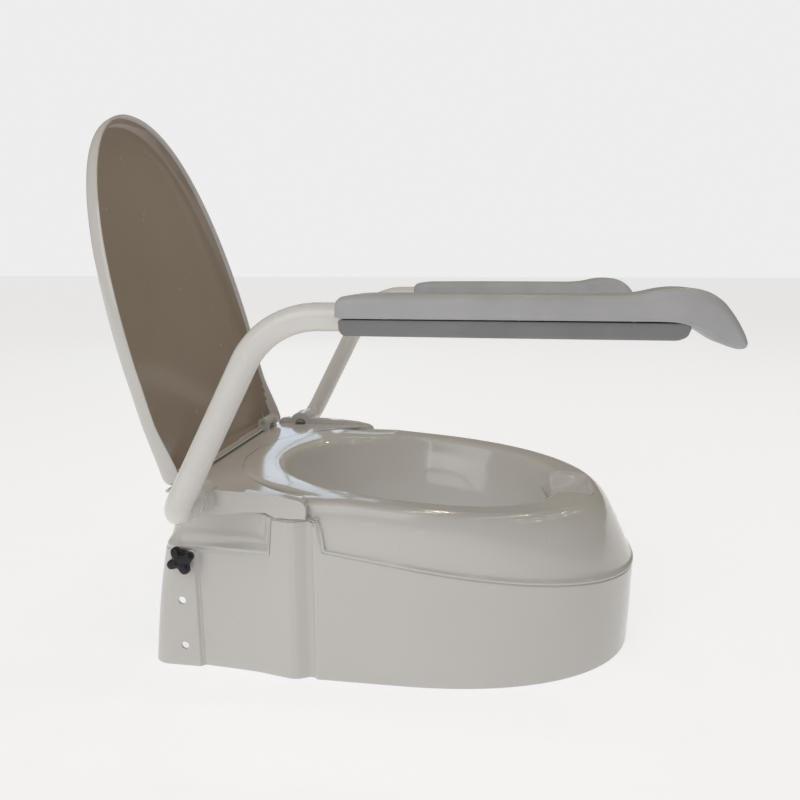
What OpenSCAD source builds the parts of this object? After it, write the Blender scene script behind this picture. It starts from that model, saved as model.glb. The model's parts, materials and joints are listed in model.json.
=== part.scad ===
// Raised toilet seat with lid, folding armrests and a clamped mounting bracket.
// Millimetres. The origin is midway between the two fixing bolts, on the underside of the
// mounting bracket. +Z is up and -Y points to the front of the seat.

/* [Seat] */
// Height of the bracket's underside above the foot of the shell
foot_drop = 114; // [112:1:116]
// Half width of the shell at its groove line
shell_half_w = 187; // [184:1:189]
// Distance from the fixing bolts to the nose of the shell
nose_reach = 453; // [448:1:458]
// Wall thickness of the shell
shell_wall = 4; // [3.5:0.5:4.5]
// Half width of the seat opening at its lip
opening_half_w = 141; // [136:1:146]
// Height of the lower end of the splash guard above the foot
guard_foot = 62; // [55:1:75]

/* [Height setting] */
// Height of the lowest setting hole above the foot
hole_low = 24; // [22:1:26]
// Height of the middle setting hole above the foot
hole_mid = 77; // [74:1:80]
// Height of the top setting hole above the foot
hole_top = 127; // [125:1:129]
// Radius of a setting hole
hole_r = 4.3; // [4.2:0.1:4.5]

/* [Armrests] */
// Distance from the centre plane to an arm tube
arm_x = 254; // [250:1:260]
// Outer radius of an arm tube
tube_r = 12.5; // [12:0.5:12.5]
// Wall thickness of an arm tube
tube_wall = 1.8; // [1.5:0.1:2.2]
// Height of the level part of an arm tube above the foot
arm_h = 387; // [386.5:0.5:388.5]
// Half width of an arm pad
pad_half_w = 29; // [27:1:31]

/* [Lid] */
// Half width of the lid
lid_half_w = 178; // [174:1:180]
// Length of the lid from its hinge line
lid_len = 412; // [405:1:420]
// Depth of the lid's rim
lid_depth = 23; // [22:1:25]
// Lean of the open lid from the vertical
lid_lean = 15; // [12:1:18]

/* [Mounting bracket] */
// Distance between the two fixing bolts
bolt_spacing = 155; // [145:5:165]
// Radius of a fixing bolt
bolt_r = 4; // [4:0.5:5]
// Length of a fixing bolt below the bracket
bolt_len = 66; // [60:1:70]

/* [Hidden] */
$fn = 48;

// Shell outline: the front is a superellipse about seat_y, the rear is a rounded box
seat_y = -195;
outline_power = 2.25;
front_steps = 16;
corner_steps = 4;
corner_r = 22;
side_y = [-160, -130, -114, -106, -92, -75, -62, -20, 18, 24];
// How far the lower side wall stands out from the front half width, along Y
wall_step = [[-114, 0], [-106, -2], [-92, 3], [-75, 3], [-62, -4], [-20, -8], [18, -11], [24, -8]];
box_start = -114;
box_full = -106;

// Arm pivot and lid hinge
pivot_y = 6;
pivot_h = 197.5;
hinge_y = 44;
hinge_h = 209;
rail_foot_in = 172;
rail_in = 180;
rail_out = 190;
boss_end = 206;
boss_r = 16.5;
bush_r = 14.2;
run_gap = 0.05;
screw_r = 4;
screw_head_r = 6.5;
screw_head_h = 2.4;
// Thickness of the rail behind the bush, and of the bush's rim outside the boss
web = 5;
bush_rim = 2;
plug_len = 22;

// Arm tube route. The rising part leans forward by arm_lean from the vertical
arm_lean = 27;
elbow_r = 20;
crook_r = 78;
level_end = -432;
tube_in = 186;

// Bracket and knobs
knob_y = 32;
lower_hole_y = 38;
ear_out = 169;
knob_face = 180.6;
bar_t = 4;
stud_r = 4;

function groove_h(y) = 97 + 0.145 * (y + 450);
function crown_h(y) = min(195, 190 + 0.08 * (y + 205));
function spow(v, p) = sign(v) * pow(abs(v), p);
function blend(y) = lookup(y, [[box_start, 0], [box_full, 1]]);

// A ring is [half width in front, reach in front, half width behind, reach behind,
//   share of the way from groove to crown, height behind, is low wall, is oval,
//   inward shift of the under surface, drop of the under surface]
reach = nose_reach + seat_y;
top_drop = 4;
rings = [
    [shell_half_w - 5, reach - 3, 182, 275, -1, 0, 1, 0, shell_wall, 0],
    [shell_half_w - 2, reach - 1, 184, 267, -0.5, 75, 1, 0, shell_wall, 0],
    [shell_half_w, reach, 186, 253, 0, 140, 1, 0, shell_wall, 3],
    [shell_half_w - 1, reach - 6, 184, 250, 0.12, 149, 1, 0, shell_wall, 4],
    [shell_half_w - 3, reach - 22, 176, 247, 0.5, 160, 0, 0, shell_wall, 2],
    [shell_half_w - 7, reach - 36, 171, 245, 0.84, 179, 0, 0, shell_wall, 2],
    [shell_half_w - 11, reach - 43, 170, 243, 0.96, 190, 0, 0, shell_wall, 3],
    [shell_half_w - 19, reach - 52, 166, 238, 1, 194.5, 0, 0, 2, top_drop],
    [opening_half_w + 15, 192, 156, 184, 1, 193.5, 0, 1, 0, top_drop],
    [opening_half_w + 6, 176, 147, 170, 0.98, 192, 0, 1, -1, top_drop],
    [opening_half_w, 165, 141, 161, 0.92, 187, 0, 1, -3, 3],
    [opening_half_w - 5, 155, 136, 153, 0.74, 176, 0, 1, -shell_wall, 0],
    [opening_half_w - 24, 142, 117, 142, 0.1, 118, 0, 1, -shell_wall, 0],
    [opening_half_w - 33, 134, 108, 134, -2, guard_foot, 0, 1, -shell_wall, 0]
];

// Height of a ring at y: in front it follows the groove and crown lines
function front_h(r, y) = r[4] == -1 ? 0 : r[4] == -2 ? guard_foot :
    r[4] < 0 ? groove_h(y) * (1 + r[4]) : groove_h(y) + r[4] * (crown_h(y) - groove_h(y));
function ring_h(r, y) = (1 - blend(y)) * front_h(r, y) + blend(y) * r[5];
function side_x(r, y) = r[0] + (r[6] == 1 ? lookup(y, wall_step) : blend(y) * (r[2] - r[0]));

// Half of a ring, from the nose to the middle of the back, as [x, y]
function front_pt(r, i) = let (a = 90 * i / front_steps)
    [r[0] * spow(sin(a), 2 / outline_power), seat_y - r[1] * spow(cos(a), 2 / outline_power)];
rear_steps = len(side_y) + corner_steps + 3;
function oval_pt(r, i) = let (a = 90 * i / rear_steps)
    [r[2] * cos(a), seat_y + r[3] * sin(a)];
function box_x(r) = side_x(r, 24);
function box_pt(r, i) = let (n = len(side_y), yr = seat_y + r[3], a = 90 * (i - n) / corner_steps)
    i <= n ? [side_x(r, side_y[i - 1]), side_y[i - 1]] :
    i <= n + corner_steps ?
        [box_x(r) - corner_r * (1 - cos(a)), yr - corner_r * (1 - sin(a))] :
    [(box_x(r) - corner_r) * (rear_steps - i) / 3, yr];
function half_ring(r) = concat(
    [for (i = [0:front_steps]) front_pt(r, i)],
    [for (i = [1:rear_steps]) r[7] == 1 ? oval_pt(r, i) : box_pt(r, i)]);
function whole_ring(r) = let (h = half_ring(r), n = len(h)) concat(
    h, [for (i = [n - 2:-1:1]) [-h[i][0], h[i][1]]]);

// The under surface runs back along the same rings, moved in and down by the wall
function under(r) = [
    r[0] - r[8], r[1] - r[8], r[2] - r[8], r[3] - r[8], r[4], r[5], r[6], r[7], r[8], r[9]];
// The shallow scoop in the front of the ring
scoop_half_w = 48;
scoop_depth = 15;
function scoop(x, y) = let (u = min(1, abs(x) / scoop_half_w), v = max(0, min(1, (-y - 330) / 85)))
    scoop_depth * (cos(180 * u) + 1) / 2 * sin(180 * pow(v, 0.7));
function is_lip(k) = k >= 8 && k <= 11 ? 1 : 0;
function level(r, k, dz) = [for (p = whole_ring(r))
    [p[0], p[1], ring_h(r, p[1]) - dz - is_lip(k) * (p[1] < seat_y ? scoop(p[0], p[1]) : 0)]];

module seat_body() {
    n = len(rings);
    m = 2 * (front_steps + rear_steps);
    skin = concat(
        [for (k = [0:n - 1]) level(rings[k], k, 0)],
        [for (k = [n - 1:-1:0]) level(under(rings[k]), k, rings[k][9])]);
    polyhedron([for (s = skin) each s], [for (k = [0:2 * n - 1], i = [0:m - 1]) each
        let (a = k * m, b = ((k + 1) % (2 * n)) * m, j = (i + 1) % m)
            [[a + i, a + j, b + i], [a + j, b + j, b + i]]]);
}

// Everything is drawn with the foot of the shell at height 0, then lowered
module lower() {
    translate([0, 0, -foot_drop]) children();
}
module both() {
    children();
    mirror([1, 0, 0]) children();
}
module along_x(x, y, h) {
    translate([x, y, h]) rotate([0, 90, 0]) children();
}

back_half_w = 140;
back_top = 105;
module seat_shell() {
    color("ivory") lower() difference() {
        seat_body();
        // Open back between the side panels, for the rear of the bowl
        translate([-back_half_w, 10, -5]) cube([2 * back_half_w, 90, back_top + 5]);
        for (p = [[lower_hole_y, hole_low], [lower_hole_y, hole_mid], [knob_y, hole_top]])
            along_x(-200, p[0], p[1]) cylinder(r = hole_r, h = 400);
        both() for (y = carrier_screw_y)
            along_x(150, y, carrier_screw_h) cylinder(r = carrier_screw_r + 0.1, h = 28);
    }
}

// The carrier lies over the rear deck. Its side rails hold the arms and the lid
rail_side = [
    [-104, 179], [-104.5, 191], [-102, 195.5], [-97, 198], [-80, 201.5], [-40, 205], [24, 206],
    [36, 204], [40, 198], [40, 188], [30, 182], [0, 179], [-20, 180], [-44, 184], [-62, 184],
    [-72, 179]];
rail_t = rail_out - rail_in;
lug_x = 118;
lug_w = 12;
lug_r = 7;
lug_gap = 18;
hinge_len = 2 * lug_w + lug_gap;
pin_r = 3.5;
plate_h = 195.2;
plate_t = 2.5;
plate_back = 52;
// The plate's front edge is an arc that follows the back of the seat ring
plate_front = -95;
plate_arc_y = -175;
plate_arc_r = 193;
// The carrier screws run outwards through the shell's wall into the foot of each rail
carrier_screw_y = [-24, 16];
carrier_screw_h = 184.6;
carrier_screw_r = 2.1;
carrier_head_x = 162.2;
carrier_head_h = 3;
// The stop that the arm's pin rests under
stop_len = 26;
stop_t = 5;
stop_h = 8;
module arm_carrier() {
    color("ivory") lower() difference() {
        union() {
            both() {
                intersection() {
                    translate([rail_foot_in, 0, 0]) rotate([90, 0, 90])
                        linear_extrude(rail_out - rail_foot_in) polygon(rail_side);
                    // The foot of the rail is thicker, up to the top of the plate
                    union() {
                        translate([rail_foot_in, -110, 0]) cube([20, 170, plate_h + plate_t]);
                        translate([rail_in, -110, 0]) cube([rail_t, 170, 220]);
                    }
                }
                along_x(rail_in, pivot_y, pivot_h) cylinder(r = boss_r, h = boss_end - rail_in);
                translate([rail_out - 1, pivot_y + bush_r + 1.6, pivot_h - stop_h / 2])
                    cube([stop_len + 1, stop_t, stop_h]);
                for (x = [lug_x, lug_x + lug_w + lug_gap]) hinge_lug(x);
            }
            translate([0, 0, plate_h]) linear_extrude(plate_t) difference() {
                translate([-rail_foot_in - 1, plate_front])
                    square([2 * rail_foot_in + 2, plate_back - plate_front]);
                translate([0, plate_arc_y]) circle(plate_arc_r, $fn = 96);
            }
        }
        both() {
            along_x(rail_in + web, pivot_y, pivot_h) cylinder(r = bush_r, h = 40);
            along_x(rail_in - 1, pivot_y, pivot_h) cylinder(r = screw_r + 0.3, h = 20);
            // Pocket for the head of the pivot screw
            along_x(rail_foot_in - 1, pivot_y, pivot_h)
                cylinder(r = screw_head_r + 1, h = rail_in - rail_foot_in + 1 + screw_head_h);
            along_x(lug_x - 1, hinge_y, hinge_h) cylinder(r = pin_r, h = hinge_len + 2);
            for (y = carrier_screw_y)
                along_x(rail_foot_in - 4, y, carrier_screw_h)
                    cylinder(r = carrier_screw_r + 0.1, h = 10);
        }
    }
}
module hinge_lug(x) {
    along_x(x, hinge_y, hinge_h) cylinder(r = lug_r, h = lug_w);
    translate([x, hinge_y - lug_r, plate_h]) cube([lug_w, 2 * lug_r, hinge_h - plate_h]);
}

module carrier_screws() {
    color("gainsboro") lower() both() for (y = carrier_screw_y) {
        along_x(carrier_head_x, y, carrier_screw_h) cylinder(r = 3.5, h = carrier_head_h);
        along_x(carrier_head_x + carrier_head_h, y, carrier_screw_h)
            cylinder(r = carrier_screw_r, h = 12);
    }
}

module pivot_bush() {
    lower() difference() {
        union() {
            along_x(rail_in + web, pivot_y, pivot_h)
                cylinder(r = bush_r, h = boss_end - rail_in - web);
            along_x(boss_end, pivot_y, pivot_h) cylinder(r = bush_r + 1, h = bush_rim);
        }
        along_x(rail_in, pivot_y, pivot_h) cylinder(r = tube_r + run_gap, h = 60);
    }
}
module left_pivot_bush() {
    color("whitesmoke") pivot_bush();
}
module right_pivot_bush() {
    color("whitesmoke") mirror([1, 0, 0]) pivot_bush();
}

module lid_hinge_pins() {
    color("silver") lower() both()
        along_x(lug_x, hinge_y, hinge_h) cylinder(r = pin_r, h = hinge_len);
}

// Lid: a dished shell, drawn lying on its rim with its hinge line at y = 0
lid_mid = 120;
lid_corner = 9;
lid_steps = 14;
lid_foot = -2;
function lid_half(w, top, foot) = concat(
    [for (i = [0:lid_steps]) let (a = 90 * i / lid_steps)
        [w * spow(sin(a), 2 / 2.2), lid_mid + (top - lid_mid) * spow(cos(a), 2 / 2.2)]],
    [[w - 2, foot + 68], [w - 5, foot + 30], [w - 5, foot + lid_corner]],
    [for (a = [30:30:90])
        [w - 5 - lid_corner * (1 - cos(a)), foot + lid_corner * (1 - sin(a))]]);
function lid_ring(inset, depth) = let (
    h = lid_half(lid_half_w - inset, lid_len - inset, lid_foot + inset / 2), n = len(h))
    concat([for (p = h) [p[0], p[1], depth]], [for (i = [n - 1:-1:1]) [-h[i][0], h[i][1], depth]]);
module lid_shell() {
    skin = [
        lid_ring(2.5, 2.5), lid_ring(9, lid_depth - 6), lid_ring(30, lid_depth - 4.5),
        lid_ring(100, lid_depth - 2.6), lid_ring(100, lid_depth), lid_ring(30, lid_depth - 1.4),
        lid_ring(10, lid_depth - 3.5), lid_ring(3, lid_depth - 9), lid_ring(0, 8), lid_ring(0, 0),
        lid_ring(2, 0)];
    m = len(skin[0]);
    polyhedron(concat([for (s = skin) each s]), concat(
        [for (k = [0:2]) each strip(k, m)], [for (k = [4:9]) each strip(k, m)],
        [for (i = [0:m - 1]) [10 * m + i, i, 10 * m + (i + 1) % m]],
        [for (i = [0:m - 1]) [(i + 1) % m, 10 * m + (i + 1) % m, i]],
        [[for (i = [0:m - 1]) 3 * m + i]], [[for (i = [m - 1:-1:0]) 4 * m + i]]));
}
function strip(k, m) = [for (i = [0:m - 1]) each let (a = k * m, b = a + m, j = (i + 1) % m)
    [[a + i, b + i, a + j], [a + j, b + i, b + j]]];

module open_lid() {
    lower() translate([0, hinge_y, hinge_h]) rotate([90 - lid_lean, 0, 0]) mirror([0, 0, 1])
        children();
}
knuckle_r = 7;
module lid() {
    color("ivory") open_lid() {
        difference() {
            lid_shell();
            // Room for the carrier's lugs, and for the knuckle between them
            both() translate([lug_x - 1, -8, -8]) cube([hinge_len + 2, 25, 21]);
        }
        both() difference() {
            translate([lug_x + lug_w + 0.5, 0, 0]) union() {
                rotate([0, 90, 0]) cylinder(r = knuckle_r, h = lug_gap - 1);
                translate([0, 0, -1]) cube([lug_gap - 1, 22, 8]);
                translate([0, 15, -1]) cube([lug_gap - 1, 7, lid_depth - 2]);
            }
            translate([lug_x, 0, 0]) rotate([0, 90, 0])
                cylinder(r = pin_r + run_gap, h = hinge_len);
        }
    }
}

// Arm: a tube that leaves the boss along X, turns up, leans forward and levels out
level_tan = crook_r * tan((90 - arm_lean) / 2);
rise = (arm_h - pivot_h) / cos(arm_lean) - level_tan - elbow_r;
level_y = pivot_y - (arm_h - pivot_h) * tan(arm_lean) - level_tan;
module tube_ring() {
    difference() {
        circle(tube_r);
        circle(tube_r - tube_wall);
    }
}
module arm_tube() {
    lower() difference() {
        translate([0, pivot_y, pivot_h]) rotate([arm_lean, 0, 0]) {
            along_x(tube_in, 0, 0) linear_extrude(arm_x - elbow_r - tube_in) tube_ring();
            translate([arm_x - elbow_r, 0, elbow_r]) rotate([90, 0, 0]) rotate([0, 0, -90])
                rotate_extrude(angle = 90) translate([elbow_r, 0]) tube_ring();
            translate([arm_x, 0, elbow_r]) linear_extrude(rise) tube_ring();
            translate([arm_x, -crook_r, elbow_r + rise]) rotate([90, 0, 90]) {
                rotate_extrude(angle = 90 - arm_lean) translate([crook_r, 0]) tube_ring();
                rotate([0, 0, 90 - arm_lean]) translate([crook_r, 0, 0]) rotate([-90, 0, 0])
                    linear_extrude(level_y - level_end) tube_ring();
            }
        }
        stop_pin_at() cylinder(r = stop_pin_r, h = stop_pin_len);
    }
}
stop_pin_r = 3;
stop_pin_len = 12;
module stop_pin_at() {
    translate([boss_end + 6, pivot_y + 8.5, pivot_h - 7.2]) rotate([-90, 0, 0]) children();
}
module tube_plug() {
    lower() difference() {
        along_x(tube_in + 1, pivot_y, pivot_h) cylinder(r = tube_r - tube_wall, h = plug_len);
        along_x(tube_in, pivot_y, pivot_h) cylinder(r = screw_r, h = plug_len - 2);
    }
}
module pivot_screw() {
    lower() {
        along_x(rail_in + screw_head_h, pivot_y, pivot_h) cylinder(r = screw_r, h = plug_len);
        along_x(rail_in, pivot_y, pivot_h) cylinder(r = screw_head_r, h = screw_head_h);
    }
}
module stop_pin() {
    lower() stop_pin_at() cylinder(r = stop_pin_r, h = stop_pin_len);
}
module front_plug() {
    lower() translate([arm_x, level_end - 3, arm_h]) rotate([-90, 0, 0]) {
        cylinder(r = tube_r, h = 3);
        cylinder(r = tube_r - tube_wall, h = 16);
    }
}

// Pad: a soft top moulding with a hooked nose, over a plain base moulding
pad_back = -159;
pad_round = 10;
pad_split = arm_h + 0.5;
base_foot = 372.2;
pad_side = [
    [pad_back, pad_split], [pad_back, 401], [pad_back - 4, 406], [pad_back - 20, 407.5],
    [-395, 407.5], [-408, 409], [-422, 412.5], [-432, 413.8], [-446, 413.3], [-456, 410.5],
    [-466, 404], [-476, 391], [-484, 378], [-486.5, 372], [-485.5, 368.5], [-482, 366.5],
    [-473, 366.8], [-466, 370], [-457, 377], [-448, 382.5], [-440, 385.5], [-428, pad_split]];
base_side = [
    [pad_back - 2, pad_split - 1.5], [-430, pad_split - 1.5], [-443, 384], [-441, 375.5],
    [-437, base_foot], [pad_back - 6, base_foot], [pad_back - 2, base_foot + 3]];
pad_screw_x = 19;
pad_screw_y = [-200, -310, -400];
pad_screw_r = 2;
module pad_bar(side, half_w) {
    translate([arm_x - half_w, 0, 0]) rotate([90, 0, 90]) linear_extrude(2 * half_w) polygon(side);
}
module tube_space() {
    translate([arm_x, level_end - 3.2, arm_h]) rotate([-90, 0, 0]) cylinder(r = tube_r, h = 300);
}
// The screws run up beside the tube and clamp the two mouldings round it
module pad_screw_at() {
    for (x = [-pad_screw_x, pad_screw_x], y = pad_screw_y)
        translate([arm_x + x, y, base_foot]) children();
}
module pad_top() {
    lower() difference() {
        intersection() {
            pad_bar(pad_side, pad_half_w);
            // Rounds the long top edges
            translate([arm_x, 0, 360]) rotate([90, 0, 0]) linear_extrude(500) hull() both() {
                translate([pad_half_w - pad_round, 54 - pad_round]) circle(pad_round);
                square([pad_half_w, 2]);
            }
        }
        tube_space();
        pad_screw_at() cylinder(r = pad_screw_r, h = 26);
    }
}
module pad_base() {
    lower() difference() {
        pad_bar(base_side, pad_half_w - 3);
        tube_space();
        pad_screw_at() {
            translate([0, 0, -1]) cylinder(r = 4, h = 3.4);
            cylinder(r = pad_screw_r, h = 20);
        }
    }
}
module pad_screws() {
    lower() pad_screw_at() {
        translate([0, 0, 1]) cylinder(r = 3.5, h = 1.4);
        translate([0, 0, 2.4]) cylinder(r = pad_screw_r, h = 23);
    }
}

module left_arm_tube() {
    color("linen") arm_tube();
}
module left_tube_plug() {
    color("dimgray") tube_plug();
}
module left_pivot_screw() {
    color("silver") pivot_screw();
}
module left_stop_pin() {
    color("silver") stop_pin();
}
module left_front_plug() {
    color("dimgray") front_plug();
}
module left_pad_top() {
    color("darkgray") pad_top();
}
module left_pad_base() {
    color("gray") pad_base();
}
module left_pad_screws() {
    color("silver") pad_screws();
}
module right_arm_tube() {
    color("linen") mirror([1, 0, 0]) arm_tube();
}
module right_tube_plug() {
    color("dimgray") mirror([1, 0, 0]) tube_plug();
}
module right_pivot_screw() {
    color("silver") mirror([1, 0, 0]) pivot_screw();
}
module right_stop_pin() {
    color("silver") mirror([1, 0, 0]) stop_pin();
}
module right_front_plug() {
    color("dimgray") mirror([1, 0, 0]) front_plug();
}
module right_pad_top() {
    color("darkgray") mirror([1, 0, 0]) pad_top();
}
module right_pad_base() {
    color("gray") mirror([1, 0, 0]) pad_base();
}
module right_pad_screws() {
    color("silver") mirror([1, 0, 0]) pad_screws();
}

// Bracket: a steel strip across the bowl, with an ear at each end for a knob stud
strip_w = 50;
ear_w = 28;
ear_h = 24;
insert_r = 7;
washer_t = 1.6;
nut_r = 6.5;
nut_h = 5.3;
axis_h = hole_top - foot_drop;
module mount_bracket() {
    color("silver") difference() {
        union() {
            translate([-ear_out, -strip_w / 2, 0]) cube([2 * ear_out, strip_w, bar_t]);
            both() translate([ear_out - bar_t, -strip_w / 2, 0]) {
                cube([bar_t, strip_w + knob_y - 12, bar_t + 6]);
                translate([0, (strip_w - ear_w) / 2 + knob_y, 0]) cube([bar_t, ear_w, ear_h]);
            }
        }
        both() {
            along_x(ear_out - 10, knob_y, axis_h) cylinder(r = insert_r, h = 20);
            translate([bolt_spacing / 2, 0, -1]) cylinder(r = bolt_r + 0.5, h = bar_t + 2);
        }
    }
}
module bracket_inserts() {
    color("goldenrod") both() difference() {
        union() {
            along_x(ear_out - 18, knob_y, axis_h) cylinder(r = insert_r, h = 18);
            along_x(ear_out, knob_y, axis_h) cylinder(r = insert_r + 3, h = 4);
        }
        along_x(ear_out - 20, knob_y, axis_h) cylinder(r = stud_r, h = 40);
    }
}
module bracket_pads() {
    color("dimgray") both() translate([104, -20, -3]) cube([46, 40, 3]);
}
module fixing_bolts() {
    color("silver") both() translate([bolt_spacing / 2, 0, 0]) {
        translate([0, 0, -bolt_len]) cylinder(r = bolt_r, h = bolt_len);
        cylinder(r = bolt_r + 0.4, h = bar_t + washer_t);
        translate([0, 0, bar_t + washer_t]) cylinder(r = nut_r, h = nut_h, $fn = 6);
    }
}
module bolt_washers() {
    color("silver") both() translate([bolt_spacing / 2, 0, bar_t]) difference() {
        cylinder(r = 10, h = washer_t);
        translate([0, 0, -1]) cylinder(r = bolt_r + 0.4, h = washer_t + 2);
    }
}

// Star knob with four lobes on a threaded stud
lobe_r = 3.7;
lobe_at = 11.8;
star_r = 9.5;
star_t = 10;
hub_r = 8;
hub_h = 5;
knob_turn = 64;
module star() {
    difference() {
        rotate(knob_turn) union() {
            circle(star_r);
            for (a = [0:90:270]) rotate(a) {
                translate([lobe_at, 0]) circle(lobe_r);
                translate([0, -lobe_r]) square([lobe_at, 2 * lobe_r]);
            }
        }
        for (a = [45:90:315]) rotate(a + knob_turn) translate([14.2, 0]) circle(7);
    }
}
module knob() {
    lower() along_x(knob_face, knob_y, hole_top) {
        difference() {
            union() {
                cylinder(r = hub_r, h = hub_h);
                translate([0, 0, hub_h - 1]) linear_extrude(star_t) star();
            }
            translate([0, 0, -1]) cylinder(r = stud_r, h = 12);
        }
    }
}
module knob_stud() {
    lower() along_x(ear_out - 14, knob_y, hole_top)
        cylinder(r = stud_r, h = knob_face - ear_out + 24);
}
module knob_washer() {
    lower() along_x(knob_face - washer_t, knob_y, hole_top) difference() {
        cylinder(r = hub_r + 1, h = washer_t);
        translate([0, 0, -1]) cylinder(r = stud_r, h = washer_t + 2);
    }
}
module left_knob() {
    color("black") knob();
}
module left_knob_stud() {
    color("silver") knob_stud();
}
module left_knob_washer() {
    color("silver") knob_washer();
}
module right_knob() {
    color("black") mirror([1, 0, 0]) knob();
}
module right_knob_stud() {
    color("silver") mirror([1, 0, 0]) knob_stud();
}
module right_knob_washer() {
    color("silver") mirror([1, 0, 0]) knob_washer();
}

seat_shell();
arm_carrier();
carrier_screws();
left_pivot_bush();
right_pivot_bush();
lid_hinge_pins();
lid();
left_arm_tube();
left_tube_plug();
left_pivot_screw();
left_stop_pin();
left_front_plug();
left_pad_top();
left_pad_base();
left_pad_screws();
right_arm_tube();
right_tube_plug();
right_pivot_screw();
right_stop_pin();
right_front_plug();
right_pad_top();
right_pad_base();
right_pad_screws();
mount_bracket();
bracket_inserts();
bracket_pads();
fixing_bolts();
bolt_washers();
left_knob();
left_knob_stud();
left_knob_washer();
right_knob();
right_knob_stud();
right_knob_washer();
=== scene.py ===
import json
import math
from collections import namedtuple

import bmesh
import bpy
from mathutils import Matrix, Vector


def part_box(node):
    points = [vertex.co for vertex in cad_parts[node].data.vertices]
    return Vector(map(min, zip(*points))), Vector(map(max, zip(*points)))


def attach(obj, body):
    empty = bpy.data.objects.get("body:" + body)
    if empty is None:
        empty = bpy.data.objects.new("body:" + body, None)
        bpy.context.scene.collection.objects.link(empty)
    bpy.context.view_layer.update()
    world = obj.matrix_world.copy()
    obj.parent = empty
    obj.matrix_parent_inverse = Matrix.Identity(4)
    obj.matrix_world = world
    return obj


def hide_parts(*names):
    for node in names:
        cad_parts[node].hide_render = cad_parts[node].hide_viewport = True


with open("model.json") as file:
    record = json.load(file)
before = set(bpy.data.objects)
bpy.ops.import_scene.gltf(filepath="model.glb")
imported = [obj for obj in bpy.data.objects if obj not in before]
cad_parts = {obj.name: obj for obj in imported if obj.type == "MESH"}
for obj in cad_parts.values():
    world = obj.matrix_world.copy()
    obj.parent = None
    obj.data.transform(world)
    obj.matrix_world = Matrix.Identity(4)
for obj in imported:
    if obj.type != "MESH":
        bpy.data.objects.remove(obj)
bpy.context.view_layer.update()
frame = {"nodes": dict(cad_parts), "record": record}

MM = 0.001
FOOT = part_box("seat_shell")[0][2]
JOINTS = {j["name"]: j for j in frame["record"]["behaviour"]["joints"]}


def at(x, y, h):
    """A point given in millimetres, with its height counted from the foot of the shell."""
    return Vector((x * MM, y * MM, FOOT + h * MM))


def joint_at(name):
    """A joint's place in millimetres, with its height counted from the foot."""
    x, y, z = JOINTS[name]["pos_m"]
    return x / MM, y / MM, (z - FOOT) / MM


# ---------------------------------------------------------------- mesh helpers

def lookup(table, v):
    """Straight-line lookup in a table of [input, output] rows."""
    if v <= table[0][0]:
        return table[0][1]
    for (a, fa), (b, fb) in zip(table, table[1:]):
        if v <= b:
            return fa + (fb - fa) * (v - a) / (b - a)
    return table[-1][1]


def soft_lookup(table, v, r):
    """The same lookup, averaged over v - r to v + r, which rounds its corners."""
    steps = 9
    return sum(lookup(table, v + r * (2 * i / (steps - 1) - 1)) for i in range(steps)) / steps


def mix(a, b, t):
    """A straight blend, from a at 0 to b at 1."""
    return a + (b - a) * t


def smooth(t):
    """A soft step from 0 to 1."""
    t = min(1.0, max(0.0, t))
    return t * t * (3 - 2 * t)


def spow(v, p):
    """A power that keeps the sign."""
    return math.copysign(abs(v) ** p, v)


def round_path(points, cuts, steps):
    """A path through 3D points with each inner corner replaced by a curve that starts cut before it."""
    out = [points[0].copy()]
    for i in range(1, len(points) - 1):
        p, a, b = points[i], points[i - 1], points[i + 1]
        la, lb = (a - p).length, (b - p).length
        cut = min(cuts[i], 0.5 * la, 0.5 * lb)
        s = p + (a - p) * (cut / la) if la > 1e-9 else p
        e = p + (b - p) * (cut / lb) if lb > 1e-9 else p
        for k in range(steps):
            t = k / (steps - 1)
            out.append(s * (1 - t) ** 2 + p * (2 * t * (1 - t)) + e * t ** 2)
    out.append(points[-1].copy())
    return out


def arc_path(points, radii, steps):
    """A path of straight runs joined by true arcs of the given radii."""
    out = [points[0]]
    for i in range(1, len(points) - 1):
        p = points[i]
        u, v = (points[i - 1] - p).normalized(), (points[i + 1] - p).normalized()
        half = u.angle(v) / 2
        cut = radii[i] / math.tan(half)
        centre = p + (u + v).normalized() * (radii[i] / math.sin(half))
        s, e = p + u * cut - centre, p + v * cut - centre
        axis = s.cross(e).normalized()
        turn = s.angle(e)
        for k in range(steps + 1):
            out.append(centre + Matrix.Rotation(turn * k / steps, 3, axis) @ s)
    out.append(points[-1])
    return out


def make(name, verts, faces, material, sharp=40):
    """A mesh object with smooth shading and edges above the given angle kept sharp."""
    mesh = bpy.data.meshes.new(name)
    mesh.from_pydata([tuple(v) for v in verts], [], faces)
    bm = bmesh.new()
    bm.from_mesh(mesh)
    bmesh.ops.remove_doubles(bm, verts=bm.verts, dist=1e-6)
    bmesh.ops.dissolve_degenerate(bm, edges=bm.edges, dist=1e-7)
    bmesh.ops.recalc_face_normals(bm, faces=bm.faces)
    bm.to_mesh(mesh)
    bm.free()
    mesh.shade_smooth()
    mesh.set_sharp_from_angle(angle=math.radians(sharp))
    mesh.materials.append(material)
    obj = bpy.data.objects.new(name, mesh)
    bpy.context.scene.collection.objects.link(obj)
    return obj


BOX_FACES = [(0, 1, 3, 2), (4, 6, 7, 5), (0, 4, 5, 1), (2, 3, 7, 6), (0, 2, 6, 4), (1, 5, 7, 3)]


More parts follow.
